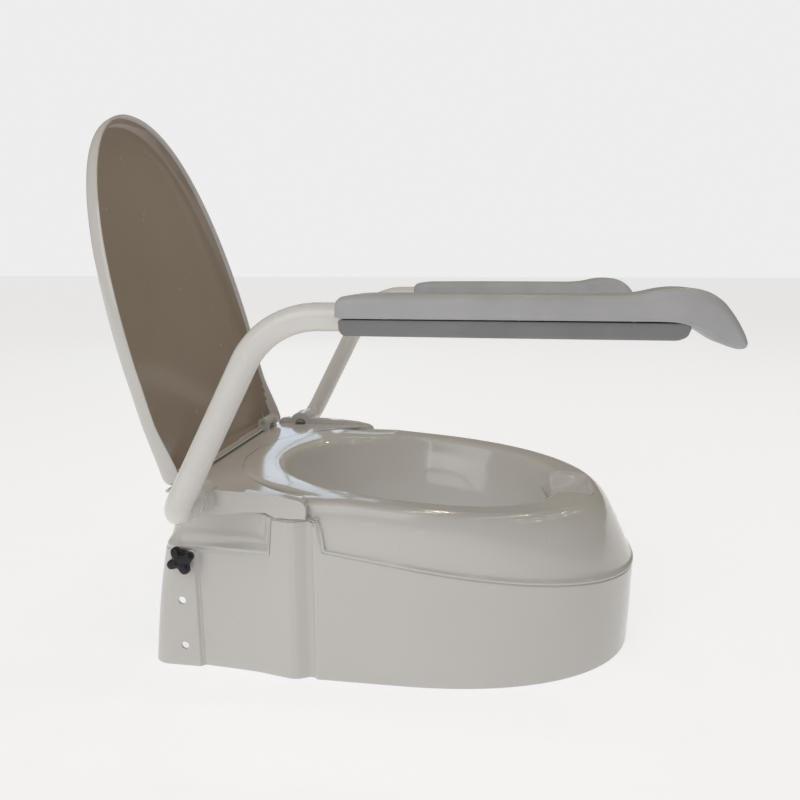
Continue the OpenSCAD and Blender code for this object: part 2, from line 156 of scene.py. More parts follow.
def loft(rows, close_u=True, close_v=False, cap_start=False, cap_end=False):
    """Vertices and faces of a grid of rows, each a list of the same number of points."""
    n, m = len(rows), len(rows[0])
    verts = [p for row in rows for p in row]
    faces = []
    for k in range(n if close_v else n - 1):
        for i in range(m if close_u else m - 1):
            j, q = (i + 1) % m, (k + 1) % n
            faces.append((k * m + i, k * m + j, q * m + j, q * m + i))
    if cap_start:
        faces.append(tuple(range(m - 1, -1, -1)))
    if cap_end:
        faces.append(tuple((n - 1) * m + i for i in range(m)))
    return verts, faces


def sweep(path, radii, sides=48):
    """Rings of the given radii along a path, with a frame that doesn't twist."""
    rows = []
    tangent = (path[1] - path[0]).normalized()
    side = tangent.orthogonal().normalized()
    for i, p in enumerate(path):
        a, b = path[max(0, i - 1)], path[min(len(path) - 1, i + 1)]
        new = (b - a).normalized() if (b - a).length > 1e-9 else tangent
        side = tangent.rotation_difference(new) @ side
        tangent = new
        up = tangent.cross(side)
        rows.append([p + (side * math.cos(t) + up * math.sin(t)) * radii[i]
                     for t in (2 * math.pi * k / sides for k in range(sides))])
    return rows


def lathe(name, origin, axis, profile, material, sides=64, sharp=40):
    """A turned piece: profile is a list of (distance along the axis, radius) in millimetres."""
    axis = Vector(axis).normalized()
    side = axis.orthogonal().normalized()
    up = axis.cross(side)
    rows = [[origin + axis * (d * MM) + (side * math.cos(t) + up * math.sin(t)) * (r * MM)
             for t in (2 * math.pi * k / sides for k in range(sides))] for d, r in profile]
    return make(name, *loft(rows, cap_start=True, cap_end=True), material, sharp)


def cut_with(obj, cutters):
    """Cuts the cutters out of obj for good."""
    for c in cutters:
        mod = obj.modifiers.new("cut", "BOOLEAN")
        mod.operation = "DIFFERENCE"
        mod.solver = "MANIFOLD"
        mod.object = c
    bpy.context.view_layer.update()
    done = bpy.data.meshes.new_from_object(obj.evaluated_get(bpy.context.evaluated_depsgraph_get()))
    obj.modifiers.clear()
    obj.data = done
    for c in cutters:
        bpy.data.objects.remove(c)
    done.shade_smooth()
    done.set_sharp_from_angle(angle=math.radians(40))


def round_edges(obj, width, angle=30, segments=3):
    """Softens an object's sharp edges by a bevel of this many millimetres."""
    mod = obj.modifiers.new("round", "BEVEL")
    mod.width = width * MM
    mod.segments = segments
    mod.limit_method = "ANGLE"
    mod.angle_limit = math.radians(angle)
    mod.harden_normals = True
    return obj


# ---------------------------------------------------------------- materials

def new_material(name, color, roughness, metallic=0.0, coat=0.0, specular=0.5):
    """A node material with these constants on its shader, and its tree and shader."""
    mat = bpy.data.materials.new(name)
    mat.use_nodes = True
    tree = mat.node_tree
    shader = tree.nodes["Principled BSDF"]
    shader.inputs["Base Color"].default_value = (*color, 1)
    shader.inputs["Roughness"].default_value = roughness
    shader.inputs["Metallic"].default_value = metallic
    shader.inputs["Coat Weight"].default_value = coat
    shader.inputs["Coat Roughness"].default_value = 0.06
    shader.inputs["Specular IOR Level"].default_value = specular
    return mat, tree, shader


def noise(tree, scale, detail=3.0, stretch=None):
    """A noise texture in object space, stretched along one axis if asked."""
    coord = tree.nodes.new("ShaderNodeTexCoord")
    mapping = tree.nodes.new("ShaderNodeMapping")
    tex = tree.nodes.new("ShaderNodeTexNoise")
    tex.inputs["Scale"].default_value = scale
    tex.inputs["Detail"].default_value = detail
    if stretch:
        mapping.inputs["Scale"].default_value = stretch
    tree.links.new(coord.outputs["Object"], mapping.inputs["Vector"])
    tree.links.new(mapping.outputs["Vector"], tex.inputs["Vector"])
    return tex.outputs["Fac"]


def as_color(v):
    """A grey level or an RGB colour, as the four numbers that a colour socket takes."""
    return (*v, 1) if isinstance(v, tuple) else (v, v, v, 1)


def ramp(tree, value, low, high, start=0.0, end=1.0):
    """Maps value from start..end to a grey or colour between low and high."""
    node = tree.nodes.new("ShaderNodeValToRGB")
    node.color_ramp.elements[0].position = start
    node.color_ramp.elements[1].position = end
    node.color_ramp.elements[0].color = as_color(low)
    node.color_ramp.elements[1].color = as_color(high)
    tree.links.new(value, node.inputs["Fac"])
    return node.outputs["Color"]


def blend_colors(tree, factor, a, b):
    """A mix of two colours, each of them a fixed colour or a socket."""
    node = tree.nodes.new("ShaderNodeMix")
    node.data_type = "RGBA"
    color_in = [s for s in node.inputs if s.type == "RGBA"]
    for socket, value in ((node.inputs["Factor"], factor), (color_in[0], a), (color_in[1], b)):
        if isinstance(value, tuple):
            socket.default_value = (*value, 1)
        elif isinstance(value, float):
            socket.default_value = value
        else:
            tree.links.new(value, socket)
    return [s for s in node.outputs if s.type == "RGBA"][0]


def bump(tree, shader, height, strength, distance):
    """Relief from a height socket. distance is in metres."""
    node = tree.nodes.new("ShaderNodeBump")
    node.inputs["Strength"].default_value = strength
    node.inputs["Distance"].default_value = distance
    tree.links.new(height, node.inputs["Height"])
    tree.links.new(node.outputs["Normal"], shader.inputs["Normal"])


def glossy_plastic(name, color, dull, roughness=0.13):
    """Moulded glossy plastic with a faint ripple, cloudy colour, fine scuffs and specks."""
    mat, tree, shader = new_material(name, color, roughness, coat=0.25)
    cloud = noise(tree, 7.0, 2.0)
    speck = noise(tree, 420.0, 2.0)
    scuff = noise(tree, 60.0, 6.0, (1.0, 4.0, 0.6))
    base = blend_colors(tree, ramp(tree, cloud, 0.0, 1.0, 0.35, 0.7), color, dull)
    dark = tuple(c * 0.72 for c in dull)
    spots = ramp(tree, speck, 1.0, 0.0, 0.215, 0.235)
    tree.links.new(blend_colors(tree, spots, base, dark), shader.inputs["Base Color"])
    rough = ramp(tree, scuff, roughness, roughness + 0.16, 0.52, 0.78)
    tree.links.new(rough, shader.inputs["Roughness"])
    bump(tree, shader, noise(tree, 26.0, 1.5), 0.12, 0.0012)
    return mat


def satin_plastic(name, color, roughness=0.42):
    """Satin moulded plastic with a fine leathery grain and rubbed patches."""
    mat, tree, shader = new_material(name, color, roughness, specular=0.45)
    worn = noise(tree, 18.0, 4.0)
    rubbed = tuple(c * 0.86 for c in color)
    base = blend_colors(tree, ramp(tree, worn, 0.0, 1.0, 0.4, 0.75), color, rubbed)
    tree.links.new(base, shader.inputs["Base Color"])
    rough = ramp(tree, worn, roughness - 0.07, roughness + 0.1, 0.35, 0.7)
    tree.links.new(rough, shader.inputs["Roughness"])
    bump(tree, shader, noise(tree, 900.0, 3.0), 0.25, 0.0003)
    return mat


def painted_metal(name, color, roughness=0.2):
    """Stove-enamelled tube: gloss paint with slight orange peel and dust."""
    mat, tree, shader = new_material(name, color, roughness, coat=0.35)
    cloud = noise(tree, 9.0, 3.0)
    dull = tuple(c * 0.93 for c in color)
    base = blend_colors(tree, ramp(tree, cloud, 0.0, 1.0, 0.4, 0.75), color, dull)
    tree.links.new(base, shader.inputs["Base Color"])
    rough = ramp(tree, noise(tree, 75.0, 5.0), roughness, roughness + 0.12, 0.45, 0.75)
    tree.links.new(rough, shader.inputs["Roughness"])
    bump(tree, shader, noise(tree, 170.0, 2.0), 0.10, 0.0006)
    return mat


def bare_metal(name, color, roughness=0.28):
    """Turned or drawn metal with fine lines."""
    mat, tree, shader = new_material(name, color, roughness, metallic=1.0)
    lines = noise(tree, 140.0, 4.0, (0.4, 6.0, 6.0))
    rough = ramp(tree, lines, roughness - 0.08, roughness + 0.16, 0.3, 0.7)
    tree.links.new(rough, shader.inputs["Roughness"])
    dark = tuple(c * 0.85 for c in color)
    base = blend_colors(tree, ramp(tree, lines, 0.0, 1.0, 0.3, 0.8), color, dark)
    tree.links.new(base, shader.inputs["Base Color"])
    bump(tree, shader, lines, 0.12, 0.0003)
    return mat


IVORY = glossy_plastic("ivory_gloss", (0.625, 0.612, 0.594), (0.604, 0.589, 0.568))
# The lid's inner face is the same ivory plastic: this darker, browner colour is painted shade
LID_IN_PAINTED_SHADE = glossy_plastic("lid_inner_painted_shade", (0.345, 0.285, 0.228), (0.325, 0.266, 0.210), 0.16)
CREAM = painted_metal("cream_enamel", (0.735, 0.718, 0.690))
PAD_TOP = satin_plastic("pad_grey", (0.430, 0.430, 0.442), 0.40)
PAD_BASE = satin_plastic("pad_dark", (0.225, 0.222, 0.230), 0.45)
BLACK = satin_plastic("black_plastic", (0.006, 0.006, 0.009), 0.38)
NYLON = satin_plastic("white_nylon", (0.62, 0.61, 0.58), 0.38)
STEEL = bare_metal("zinc_steel", (0.58, 0.58, 0.60))
BRASS = bare_metal("brass_insert", (0.60, 0.45, 0.20))
RUBBER = satin_plastic("black_rubber", (0.02, 0.02, 0.02), 0.7)

SLOT_MATERIALS = {
    "ivory_plastic": IVORY, "cream_paint": CREAM, "pad_grey": PAD_TOP, "pad_dark_grey": PAD_BASE,
    "black_plastic": BLACK, "white_nylon": NYLON, "steel": STEEL, "brass": BRASS, "rubber": RUBBER}


# ---------------------------------------------------------------- seat shell

SHELL_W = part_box("seat_shell")[1][0] / MM - 3
SEAT_Y = -195.0
REACH = SEAT_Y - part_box("seat_shell")[0][1] / MM
POWER = 2 / 2.25
OPENING_W = 141.0
WALL = 4.0
CORNER_R = 22.0
FRONT_STEPS = 120
CORNER_STEPS = 14
BACK_STEPS = 10


def groove_h(y):
    """Height of the groove between the skirt and the bulge."""
    return 97 + 0.145 * (y + 450)


def crown_h(y):
    """Height of the top of the ring."""
    return min(195.0, 190 + 0.08 * (y + 205))


LEDGE_H = 139.5


def wall_step(y, h):
    """How far the side wall stands out from the front half width at height h above the foot:
    the end of the skirt, the valley, the pilaster, the pocket and the raised rear panel."""
    up = min(1.0, max(0.0, h / LEDGE_H))
    edge = -62 + 17 * (1 - up)
    table = [[-110.5, 0], [-107, -3.4 - 1.6 * up], [-102, -3.6 - 1.0 * up], [-91, 2.0], [-84, 2.8],
             [edge, -4.6 - 0.04 * (edge + 62)], [-20, -8], [19, -11.4], [21.2, -7.2], [60, -7.2]]
    return soft_lookup(table, y, 1.2)


# Key rings of the outer skin, from the foot up over the crown and down the opening. Rear heights of
# the first two kinds count from the ledge, apart from the rings far below the groove.
Ring = namedtuple("Ring", [
    "inset", "back",            # front: inset from the half width, and from the reach
    "share", "drop",            # front: share of the way from groove to crown, or height from the groove
    "rear_inset", "rear_reach", "rear_h",
    "kind", "cut"])             # cut rounds the corner between this ring and its neighbours
LOW, COVE, DECK, OVAL = range(4)
AT_FOOT = -200
AT_GUARD_FOOT = -999
FAR_BELOW = -20
KEYS = [Ring(*row) for row in [
    (5.0, 3.0, None, AT_FOOT, 5.0, 275, 0, LOW, 2),
    (4.6, 2.6, None, AT_FOOT, 4.8, 274.6, 2, LOW, 2),
    (2.0, 1.0, None, -55, 2.0, 266, 75, LOW, 30),
    (0.3, 0.2, None, -3.0, 0.6, 255, -7, LOW, 0.8),
    (1.6, 1.5, None, -1.9, 0.8, 254, -4.5, LOW, 0.4),
    (-0.5, -0.3, None, -0.4, 1.6, 253, -2, LOW, 1.2),
    (-0.4, -0.2, None, 1.2, 4.5, 251.5, 0.5, COVE, 1.2),
    (2.2, 3.2, 0.045, 0, 9.5, 250, 4.5, COVE, 4),
    (3.0, 11.0, 0.28, 0, 12.8, 248, 13, COVE, 30),
    (4.0, 19.5, 0.52, 0, 14.6, 247, 23, COVE, 30),
    (6.0, 28.5, 0.76, 0, 15.8, 246, 34, COVE, 30),
    (8.2, 36.0, 0.895, 0, 16.6, 245, 43, COVE, 10),
    (11.5, 44.0, 0.975, 0, 18.0, 243, 189, DECK, 4),
    (19.0, 52.0, 1.0, 0, 21.0, 238, 193, DECK, 6),
    (19.6, 52.6, 1.0, 0, 19.5, 212, 193.4, OVAL, 1),
    (20.2, 53.0, 1.0, 0, 20.0, 211.5, 197.6, OVAL, 2),
    (22.5, 55.5, 1.0, 0, 23.0, 208, 199.4, OVAL, 3),
    (32.0, 66.0, 0.998, 0, 31.0, 188, 198.9, OVAL, 6),
    (41.0, 82.0, 0.985, 0, 40.0, 170, 197.3, OVAL, 6),
    (45.5, 91.0, 0.945, 0, 45.0, 162.5, 192.4, OVAL, 3.5),
    (47.5, 95.0, 0.86, 0, 47.0, 158.5, 184.5, OVAL, 5),
    (52.0, 104.0, 0.66, 0, 51.5, 153, 166.0, OVAL, 20),
    (70.0, 116.0, 0.05, 0, 70.0, 142, 118.0, OVAL, 30),
    (79.0, 124.0, None, AT_GUARD_FOOT, 79.0, 134, 64.0, OVAL, 1.5),
]]
# The back of the ring is squarer at its crease than at the opening
OVAL_POWER = [[160, 2.0], [184, 2.2], [210, 2.5]]
GUARD_FOOT = 62.0
SCOOP_W = 46.0


SIDE_END = 34


def side_samples():
    """Places along Y where the side wall is sampled: close together at its steps."""
    ys, y = [], SEAT_Y
    while y < SIDE_END:
        near_step = -116 < y < -54 or 14 < y < 28
        y += 0.8 if near_step else 4.0
        ys.append(y)
    return ys


SIDE_Y = side_samples()


def front_point(key, i):
    """A point on the front of the ring, from the middle round to the widest place."""
    a = math.radians(90 * i / FRONT_STEPS)
    x = (SHELL_W - key.inset) * spow(math.sin(a), POWER)
    y = SEAT_Y - (REACH - key.back) * spow(math.cos(a), POWER)
    return x, y, front_height(key, y)


def front_height(key, y):
    """Height of the ring at the front, which follows the groove and the crown."""
    g = groove_h(y)
    if key.drop == AT_FOOT:
        return float(key.rear_h)
    if key.drop == AT_GUARD_FOOT:
        return GUARD_FOOT
    if key.share is None:
        return g + key.drop * (g / 110 if key.drop < FAR_BELOW else 1)
    return g + key.share * (crown_h(y) - g)


def side_point(key, y):
    """A point on the side of the shell behind the widest place."""
    front_x, front_z = SHELL_W - key.inset, front_height(key, y)
    share = key.share if key.share is not None else 0.0
    kind = key.kind
    low_h = key.rear_h if key.drop < FAR_BELOW else LEDGE_H
    wall = SHELL_W - key.inset + wall_step(y, low_h)
    mitre = -66.5 + 13 * min(1.0, max(0.0, key.rear_h / 30)) if kind == COVE else -66.5
    soft = 4.5 if kind == LOW else 5.5 + 9.0 * smooth((key.rear_h - 8) / 30)
    pillar = 1 - smooth((y - mitre) / soft)
    start = -121.0 + 22 * share
    if kind == LOW:
        if key.drop == AT_FOOT:
            return wall, front_z
        if key.drop < FAR_BELOW:
            return wall, mix(front_z, key.rear_h, smooth((y + 112) / 14))
        rear_z = mix(LEDGE_H + key.rear_h, 176.0 + key.rear_h * 0.2, pillar)
        return wall, mix(front_z, rear_z, smooth((y + 119.5) / 5))
    if kind == COVE:
        rear_z = LEDGE_H + key.rear_h
        rear_x = SHELL_W - key.rear_inset - lookup([[-60, 0], [20, 2.5]], y)
        high_z = 176.5 + 0.05 * key.rear_h
        high_x = SHELL_W + wall_step(y, LEDGE_H) - 0.6 - 0.22 * max(0.0, key.rear_h - 8)
        rear_x, rear_z = mix(rear_x, high_x, pillar), mix(rear_z, high_z, pillar)
        t = smooth((y - start) / 3.2)
        return mix(front_x, rear_x, t), mix(front_z, rear_z, t)
    t = smooth((y - start) / 6)
    return mix(front_x, SHELL_W - key.rear_inset, t), mix(front_z, key.rear_h, t)


def rear_points(key):
    """Points from the widest place round to the middle of the back."""
    if key.kind == OVAL:
        n = len(SIDE_Y) + CORNER_STEPS + BACK_STEPS
        out = []
        for i in range(1, n + 1):
            a = math.radians(90 * i / n)
            power = 2 / lookup(OVAL_POWER, key.rear_reach)
            x = (SHELL_W - key.rear_inset) * spow(math.cos(a), power)
            y = SEAT_Y + key.rear_reach * spow(math.sin(a), power)
            t = smooth((y + 118) / 60)
            out.append((x, y, mix(front_height(key, y), key.rear_h, t)))
        return out
    out = []
    for y in SIDE_Y:
        x, z = side_point(key, y)
        out.append((x, y, z))
    bx, bz = side_point(key, SIDE_END)
    yr = SEAT_Y + key.rear_reach
    for i in range(1, CORNER_STEPS + 1):
        a = math.radians(90 * i / CORNER_STEPS)
        out.append((bx - CORNER_R * (1 - math.cos(a)), yr - CORNER_R * (1 - math.sin(a)), bz))
    for i in range(1, BACK_STEPS + 1):
        out.append(((bx - CORNER_R) * (1 - i / BACK_STEPS), yr, bz))
    return out


def scoop(x, y):
    """Depth of the shallow recess in the front of the ring."""
    u = min(1.0, abs(x) / SCOOP_W)
    v = min(1.0, max(0.0, (-y - 334) / 74))
    side = 1 - smooth((u - 0.62) / 0.38)
    return 21 * side * math.sin(math.pi * v ** 0.8) ** 0.8 if v > 0 else 0.0


def half_ring(key):
    """The outline of one ring on the user's left, from the front to the middle of the back."""
    return [front_point(key, i) for i in range(FRONT_STEPS + 1)] + rear_points(key)


ROUND_STEPS = 5
INNER_EVERY = 6
# The part of a column that the scoop presses down: the crown and the top of the opening
SCOOPED = range(61, 103)


def shell_columns():
    """One rounded profile for each place round the half outline."""
    rings = [half_ring(k) for k in KEYS]
    cuts = [k.cut * MM for k in KEYS]
    columns = []
    for i in range(len(rings[0])):
        columns.append(round_path([at(*r[i]) for r in rings], cuts, ROUND_STEPS))
    return columns


def inner_wall(col):
    """The inside of one profile, a wall's thickness in from the outside, back down to the foot."""
    last = len(col) - 1
    pts = []
    for i in list(range(last, -1, -INNER_EVERY)) + [0]:
        p = col[i]
        t = col[min(last, i + 3)] - col[max(0, i - 3)]
        out = Vector((p.x, p.y - SEAT_Y * MM, 0))
        out = out.normalized() if out.length > 1e-6 else Vector((0, -1, 0))
        normal = Vector((out.x * t.z, out.y * t.z, -t.dot(out)))
        if i in (0, last):
            normal = out if i == 0 else -out
        pts.append(p - normal.normalized() * WALL * MM)
    pts[-1].z = FOOT
    return pts


def build_shell():
    half = shell_columns()
    for col in half:
        if abs(col[0].x) < 1e-9:
            col[0].x = 0
        for k in SCOOPED:
            p = col[k]
            if p.y / MM < SEAT_Y:
                p.z -= scoop(p.x / MM, p.y / MM) * MM
    full = [col + inner_wall(col) for col in half]
    mirrored = [[Vector((-p.x, p.y, p.z)) for p in col] for col in full[-2:0:-1]]
    columns = full + mirrored
    rows = [[col[k] for col in columns] for k in range(len(columns[0]))]
    return make("shell", *loft(rows, close_u=True, close_v=True), IVORY, 35)


def cutter_box(name, lo, hi):
    verts = [at(x, y, z) for x in (lo[0], hi[0]) for y in (lo[1], hi[1]) for z in (lo[2], hi[2])]
    return make(name, verts, BOX_FACES, IVORY)


def cutter_rod(name, y, h, profile):
    return lathe(name, at(0, y, h), (1, 0, 0), profile, IVORY, 40)


# The holes for the knob studs, at three heights: y, height
HOLES = [(38.0, 24.0), (38.0, 77.0), joint_at("left_knob_turn")[1:]]
HOLE_R = 4.3

shell = build_shell()
cutters = [cutter_box("back_cut", (-140, 10, -5), (140, 100, 105))]
for i, (y, h) in enumerate(HOLES):
    cutters.append(cutter_rod("hole_%d" % i, y, h, [(-300, HOLE_R), (300, HOLE_R)]))
cut_with(shell, cutters)
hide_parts("seat_shell")
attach(shell, "seat")


# ---------------------------------------------------------------- lid

HINGE = joint_at("lid_hinge")
LID_LEAN = math.radians(15)
LID_LEN = 412.0
LID_W = 178.0
LID_MID = 120.0
LID_DEPTH = 23.0
LID_FOOT = -8.5
LID_CORNER = 9.0
LID_POWER = 2 / 2.2


def lid_point(x, s, d):
    """A point on the open lid: x across, s up from the hinge line, d back from the rim plane."""
    turn = Matrix.Rotation(-LID_LEAN, 3, "X")
    p = turn @ Vector((0, d, s))
    return at(x, HINGE[1] + p.y, HINGE[2] + p.z)


def lid_place(p):
    """The x, s and d of a point on the open lid, the other way round from lid_point."""
    rel = Vector((0, p.y / MM - HINGE[1], (p.z - FOOT) / MM - HINGE[2]))
    turned = Matrix.Rotation(LID_LEAN, 3, "X") @ rel
    return p.x / MM, turned.z, turned.y


def lid_outline(inset):
    """Half of the lid's outline, from the top down the side to the middle of the foot."""
    w, top, foot = LID_W - inset, LID_LEN - inset, LID_FOOT + inset * 0.5
    steps, pts = 90, []
    for i in range(steps + 1):
        a = math.radians(90 * i / steps)
        pts.append((w * spow(math.sin(a), LID_POWER),
                    LID_MID + (top - LID_MID) * spow(math.cos(a), LID_POWER)))
    side = [(w - 0.5 - 1.5 * t, mix(LID_MID, foot + 68, t)) for t in (0.25, 0.5, 0.75, 1)]
    lower = [(w - 2 - 3 * t, mix(foot + 68, foot + LID_CORNER, t)) for t in (0.2, 0.4, 0.6, 0.8, 1)]
    pts += side + lower
    for k in range(1, 9):
        a = math.radians(90 * k / 8)
        pts.append((w - 5 - LID_CORNER * (1 - math.cos(a)), foot + LID_CORNER * (1 - math.sin(a))))
    edge = pts[-1][0]
    pts += [(edge * (1 - k / 12), foot) for k in range(1, 13)]
    return pts


def lid_flare(x, s):
    """The rim's sides sweep forward towards the hinge corners."""
    return -9.0 * smooth((70 - s) / 75) * smooth((abs(x) - 120) / 50)


# inset from the outline, depth behind the rim plane, corner cut, share of the flare
LID_RINGS = [
    (0.9, -0.2, 0.8, 1), (2.9, 0.6, 0.8, 1), (4.2, 6.0, 3, 1), (7.5, LID_DEPTH - 9.5, 7, 0.5),
    (17, LID_DEPTH - 6.0, 7, 0.2), (45, LID_DEPTH - 4.2, 30, 0), (100, LID_DEPTH - 2.6, 20, 0),
    (100, LID_DEPTH + 0.2, 20, 0), (45, LID_DEPTH - 0.6, 30, 0), (15, LID_DEPTH - 2.6, 8, 0.1),
    (4.5, LID_DEPTH - 7, 6, 0.4), (1.0, LID_DEPTH - 13, 5, 0.7), (0, 3.0, 2, 1), (0.2, 0.2, 0.8, 1)]


# The first rings line the dish, and the rest run round the outside
DISH_RINGS = 7


def build_lid():
    outlines = [lid_outline(r[0]) for r in LID_RINGS]
    columns = []
    for i in range(len(outlines[0])):
        pts = []
        for ring, outline in zip(LID_RINGS, outlines):
            x, s = outline[i]
            pts.append(lid_point(x, s, ring[1] + ring[3] * lid_flare(x, s)))
        cuts = [r[2] * MM for r in LID_RINGS]
        inner = round_path(pts[:DISH_RINGS], cuts[:DISH_RINGS], ROUND_STEPS)
        outer = round_path(pts[DISH_RINGS:], cuts[DISH_RINGS:], ROUND_STEPS)
        columns.append((inner, outer))
    columns += [[[Vector((-p.x, p.y, p.z)) for p in part] for part in c] for c in columns[-2:0:-1]]
    inner_rows = [[c[0][k] for c in columns] for k in range(len(columns[0][0]))]
    outer_rows = [[c[1][k] for c in columns] for k in range(len(columns[0][1]))]
    obj = make("lid_panel", *loft(outer_rows + inner_rows, cap_start=True, cap_end=True), IVORY, 40)
    obj.data.materials.append(LID_IN_PAINTED_SHADE)
    # The face towards the seat, inside the rim, takes the darker, browner colour, which is painted shade
    # on the same ivory plastic
    for face in obj.data.polygons:
        x, s, d = lid_place(face.center)
        inside = d > 4 and d < LID_DEPTH - 1.2 and face.normal.y < -0.2
        face.material_index = 1 if inside else 0
    return obj


lid = build_lid()
# Room for the carrier's hinge lugs, either side of each knuckle
LUG_NOTCHES = (117, 147)
NOTCH_W = 14
notches = []
for side in (-1, 1):
    for x in LUG_NOTCHES:
        a, b = sorted((side * x, side * (x + NOTCH_W)))
        verts = [lid_point(px, s, d) for px in (a, b) for s in (-12, 17) for d in (-14, 13)]
        notches.append(make("notch", verts, BOX_FACES, IVORY))
cut_with(lid, notches)
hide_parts("lid")
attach(lid, "lid")
for side in (-1, 1):
    name = "left" if side > 0 else "right"
    knuckle = lathe("lid_knuckle_" + name, at(side * 130.5, HINGE[1], HINGE[2]), (side, 0, 0),
                    [(0, 6.2), (0.8, 7), (16.2, 7), (17, 6.2)], IVORY)
    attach(knuckle, "lid")


# ---------------------------------------------------------------- arms

TUBE_R = 12.5
ARM_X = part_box("left_arm_tube")[1][0] / MM - TUBE_R
ARM_H = (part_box("left_arm_tube")[1][2] - FOOT) / MM - TUBE_R
LEVEL_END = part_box("left_arm_tube")[0][1] / MM
TUBE_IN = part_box("left_arm_tube")[0][0] / MM
ARM_LEAN = math.radians(27)
ELBOW_R = 20.0
CROOK_R = 78.0
PAD_BACK = -159.0
PAD_W = 29.0

# Side outline of the pad top from the rear of its split line, over the top and round the hooked nose:
# y, height above the tube's centre line, rounding of the long edge, half width, corner cut
PAD_SIDE = [
    (-164.0, 0.4, 0.8, PAD_W, 1), (PAD_BACK, 1.6, 1.5, PAD_W, 1), (PAD_BACK, 14.0, 5, PAD_W, 3),
    (-163.5, 18.4, 7, PAD_W, 3), (-178, 20.3, 8, PAD_W, 6), (-250, 20.8, 9, PAD_W, 30),
    (-392, 20.6, 9, PAD_W, 12), (-408, 22.4, 9, PAD_W, 9), (-420, 25.4, 9, PAD_W, 9),
    (-432, 26.9, 9, PAD_W, 9), (-446, 26.4, 9, PAD_W, 9), (-457, 23.2, 9, 28.6, 9),
    (-467, 16.6, 9, 28.0, 9), (-477, 4.0, 8, 27.0, 12), (-484.5, -9.0, 7, 25.5, 10),
    (-487, -16.5, 5, 24.5, 4), (-485, -20.2, 3.5, 24, 3), (-479, -20.8, 3, 24, 4),
    (-468, -17.5, 3, 25, 9), (-456, -9.5, 3, 26.5, 9), (-446, -4.0, 2.5, 27.5, 9),
    (-434, 0.0, 1.2, 28.4, 6), (-420, 0.6, 0.8, 28.8, 4), (-300, 0.5, 0.8, PAD_W, 4)]
BASE_SIDE = [
    (-163.0, -0.6, 0.8, PAD_W - 2.6, 1), (-161.5, -1.6, 1.2, PAD_W - 2.6, 1),
    (-161.5, -10.0, 3, PAD_W - 2.8, 3), (-165, -14.4, 3.5, PAD_W - 3, 3),
    (-300, -14.6, 3.5, PAD_W - 3, 20), (-434, -14.6, 3.5, PAD_W - 3, 3),
    (-441, -11.6, 3, PAD_W - 3, 3), (-443.5, -4.0, 2, PAD_W - 3, 2),
    (-441, -0.7, 1, PAD_W - 3, 1), (-300, -0.6, 0.8, PAD_W - 3, 4)]


EDGE_STEPS = 7


def moulding(name, outline, x0, material, sharp=50):
    """A bar with this side outline, its long edges rounded by a different amount all round."""
    n = len(outline)
    dense = []
    for i in range(n):
        a, p, b = outline[i - 1], outline[i], outline[(i + 1) % n]
        va, vp, vb = (Vector((q[0], q[1], 0)) for q in (a, p, b))
        la, lb = (va - vp).length, (vb - vp).length
        cut = min(p[4], 0.5 * la, 0.5 * lb)
        s, e = vp + (va - vp) * (cut / la), vp + (vb - vp) * (cut / lb)
        ra = [mix(p[2], a[2], cut / la), mix(p[3], a[3], cut / la)]
        rb = [mix(p[2], b[2], cut / lb), mix(p[3], b[3], cut / lb)]
        for k in range(7):
            t = k / 6
            q = s * (1 - t) ** 2 + vp * (2 * t * (1 - t)) + e * t ** 2
            dense.append((q.x, q.y, mix(ra[0], rb[0], t), mix(ra[1], rb[1], t)))
    m = len(dense)
    normals = []
    for i in range(m):
        a, b = dense[i - 1], dense[(i + 1) % m]
        t = Vector((b[0] - a[0], b[1] - a[1]))
        normals.append(Vector((t.y, -t.x)).normalized() if t.length > 1e-9 else Vector((0, 1)))
    area = sum(dense[i - 1][0] * dense[i][1] - dense[i][0] * dense[i - 1][1] for i in range(m))
    flip = 1 if area > 0 else -1
    rows = []
    thetas = [90 - 90 * k / EDGE_STEPS for k in range(EDGE_STEPS + 1)]
    for side in (-1, 1):
        for theta in (thetas if side < 0 else thetas[::-1]):
            c, s = math.cos(math.radians(theta)), math.sin(math.radians(theta))
            row = []
            for (y, h, r, w), nrm in zip(dense, normals):
                inset = r * (1 - c) * flip
                x = w - r * (1 - s)
                row.append(at(x0 + side * x, y - nrm.x * inset, ARM_H + h - nrm.y * inset))
            rows.append(row)
    return make(name, *loft(rows, cap_start=True, cap_end=True), material, sharp)


for side, name in ((1, "left"), (-1, "right")):
    body = name + "_arm"
    px, py, ph = joint_at(name + "_arm_fold")
    corner = at(side * ARM_X, py, ph)
    top = at(side * ARM_X, py - (ARM_H - ph) * math.tan(ARM_LEAN), ARM_H)
    run = [at(side * TUBE_IN, py, ph), corner, top, at(side * ARM_X, LEVEL_END, ARM_H)]
    path = arc_path(run, [0, ELBOW_R * MM, CROOK_R * MM, 0], 28)
    rings = sweep(path, [TUBE_R * MM] * len(path))
    tube = make(name + "_tube", *loft(rings, cap_start=True, cap_end=True), CREAM)
    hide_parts(name + "_arm_tube")
    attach(tube, body)

    cushion = moulding(name + "_cushion", PAD_SIDE, side * ARM_X, PAD_TOP)
    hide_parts(name + "_pad_top")
    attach(cushion, body)

    under = moulding(name + "_under_pad", BASE_SIDE, side * ARM_X, PAD_BASE)
    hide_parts(name + "_pad_base")
    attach(under, body)


# ---------------------------------------------------------------- knobs

KNOB_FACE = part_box("left_knob")[0][0] / MM
KNOB_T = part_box("left_knob")[1][0] / MM - KNOB_FACE
KNOB_TURN = math.radians(64)


def star_radius(a):
    """Outline of the four-lobed grip at angle a from a lobe."""
    lobe = (0.5 + 0.5 * math.cos(4 * a)) ** 1.02
    return 8.8 + 7.9 * lobe - 1.1 * lobe ** 5


KNOB_SIDES = 144
KNOB_DEPTH = 14.0
